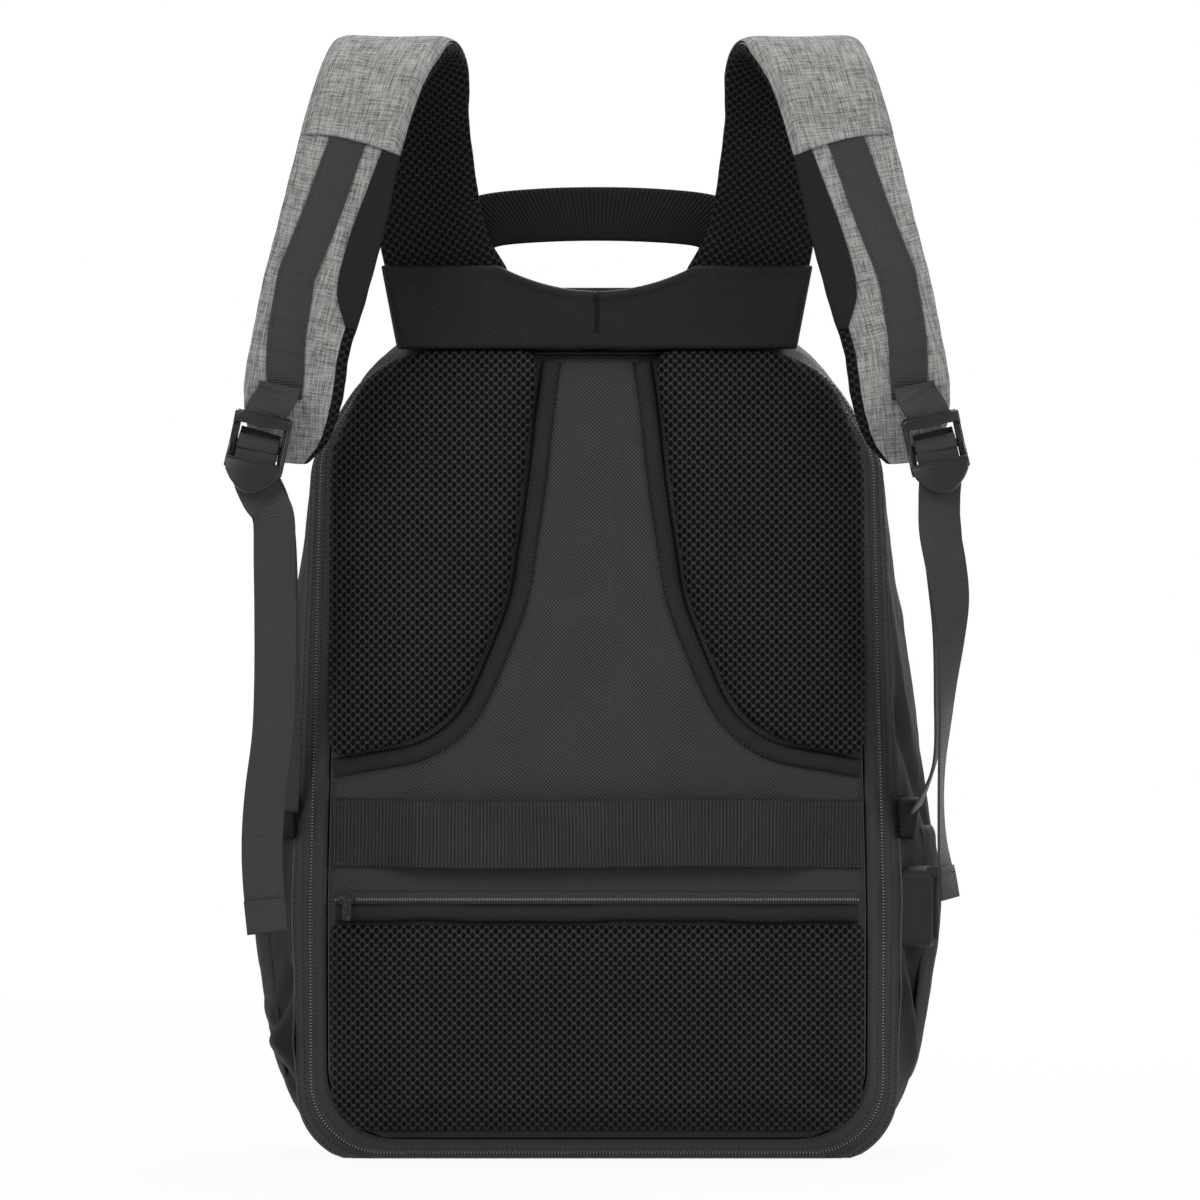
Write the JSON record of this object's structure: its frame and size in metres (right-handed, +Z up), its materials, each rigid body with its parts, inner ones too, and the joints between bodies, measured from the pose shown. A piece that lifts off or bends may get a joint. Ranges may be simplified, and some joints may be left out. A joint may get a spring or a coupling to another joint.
{
  "type": "solar backpack",
  "caption": "Padded laptop backpack: hinged rear panel, mesh back pads, looped shoulder straps with ladder locks, trolley strap, side charging outlet and front solar panel.",
  "frame": {"origin": "middle of the flat base the bag stands on", "axes": "+Z up, -Y towards the wearer's back (harness side), +Y towards the solar panel, +X to the side with the charging outlet"},
  "size_m": [0.433, 0.2707, 0.656],
  "materials": {
    "shell_fabric": "coated dark polyester with a soft sheen",
    "melange": "light grey heather weave",
    "ballistic": "dotted ballistic nylon",
    "mesh": "black spacer mesh",
    "binding": "dark grosgrain binding",
    "webbing": "ribbed polypropylene webbing",
    "coated_tape": "smooth coated zip tape",
    "buckle_plastic": "moulded acetal, semi gloss",
    "zip_metal": "black plated",
    "moulded_rubber": "matt moulded rubber",
    "board": "stiff foam board",
    "lining": "smooth grey lining",
    "solar_backing": "matt backing sheet",
    "solar_cell": "dark blue silicon",
    "solar_clear": "clear cover sheet",
    "socket_metal": "plated steel"
  },
  "bodies": {
    "pack": {"anchor_tab_left": "ballistic", "anchor_tab_right": "ballistic", "base_panel": "shell_fabric", "battery_pocket": "lining", "buckle_loop_left": "webbing", "buckle_loop_right": "webbing", "front_panel": "melange", "front_piping": "binding", "gusset_left": "shell_fabric", "gusset_right": "shell_fabric", "junction_box": "buckle_plastic", "load_webbing_left": "webbing", "load_webbing_right": "webbing", "organiser_pocket": "lining", "rim_zip_tape": "coated_tape", "side_pocket_left": "shell_fabric", "side_pocket_right": "shell_fabric", "solar_board": "solar_backing", "solar_cells": "solar_cell", "solar_cover": "solar_clear", "solar_frame": "moulded_rubber", "strap_facing_left": "coated_tape", "strap_facing_right": "coated_tape", "strap_lining_left": "mesh", "strap_lining_right": "mesh", "strap_pad_left": "melange", "strap_pad_right": "melange", "strap_webbing_left": "webbing", "strap_webbing_right": "webbing", "top_gusset": "shell_fabric", "usb_boot": "moulded_rubber", "usb_socket": "socket_metal", "yoke_gusset": "shell_fabric", "yoke_panel": "ballistic"},
    "back_panel": {"back_board": "board", "door_zip_tape": "coated_tape", "spine_panel": "ballistic", "upper_pad_left": "mesh", "upper_pad_right": "mesh", "pad_binding_left": "binding", "pad_binding_right": "binding", "lumbar_pad": "mesh", "lumbar_binding": "binding", "pocket_zip": "coated_tape", "luggage_strap": "webbing", "laptop_sleeve": "lining"},
    "pocket_zip_slider": {"pocket_slider": "zip_metal", "pocket_pull": "zip_metal"},
    "zip_slider_left": {"zip_slider_left": "zip_metal", "zip_pull_left": "zip_metal"},
    "zip_slider_right": {"zip_slider_right": "zip_metal", "zip_pull_right": "zip_metal"},
    "handle": {"grab_handle": "webbing"},
    "buckle_left": {"buckle_left": "buckle_plastic"},
    "buckle_right": {"buckle_right": "buckle_plastic"},
    "tail_left": {"tail_left": "webbing"},
    "tail_right": {"tail_right": "webbing"},
    "usb_flap": {"usb_cover": "moulded_rubber"}
  },
  "joints": [
    {"name": "back_panel_open", "type": "hinge", "parent": "pack", "child": "back_panel", "pos_m": [0, -0.08, 0.004], "axis": [1, 0, 0], "range_deg": [0, 45]},
    {"name": "main_zip_left", "type": "slide", "parent": "pack", "child": "zip_slider_left", "axis": [-1, 0, 0], "range_m": [0, 0.045]},
    {"name": "main_zip_right", "type": "slide", "parent": "pack", "child": "zip_slider_right", "axis": [1, 0, 0], "range_m": [0, 0.045]},
    {"name": "pocket_zip_run", "type": "slide", "parent": "back_panel", "child": "pocket_zip_slider", "axis": [1, 0, 0], "range_m": [0, 0.29]},
    {"name": "handle_swing", "type": "hinge", "parent": "pack", "child": "handle", "pos_m": [0, -0.077, 0.5149], "axis": [-1, 0, 0], "range_deg": [0, 70]},
    {"name": "usb_flap_open", "type": "hinge", "parent": "pack", "child": "usb_flap", "pos_m": [0.2012, -0.056, 0.169], "axis": [0, -1, 0], "range_deg": [0, 115]},
    {"name": "buckle_tilt_left", "type": "hinge", "parent": "pack", "child": "buckle_left", "pos_m": [-0.19332, -0.164, 0.43501], "axis": [0.9781, 0, -0.2079], "range_deg": [-8, 8], "deforming": ["load_webbing_left"]},
    {"name": "tail_swing_left", "type": "hinge", "parent": "buckle_left", "child": "tail_left", "pos_m": [-0.19686, -0.164, 0.41838], "axis": [-0.9781, 0, 0.2079], "range_deg": [0, 12]},
    {"name": "buckle_tilt_right", "type": "hinge", "parent": "pack", "child": "buckle_right", "pos_m": [0.19332, -0.164, 0.43501], "axis": [0.9781, 0, 0.2079], "range_deg": [-8, 8], "deforming": ["load_webbing_right"]},
    {"name": "tail_swing_right", "type": "hinge", "parent": "buckle_right", "child": "tail_right", "pos_m": [0.19686, -0.164, 0.41838], "axis": [-0.9781, 0, -0.2079], "range_deg": [0, 12]}
  ]
}
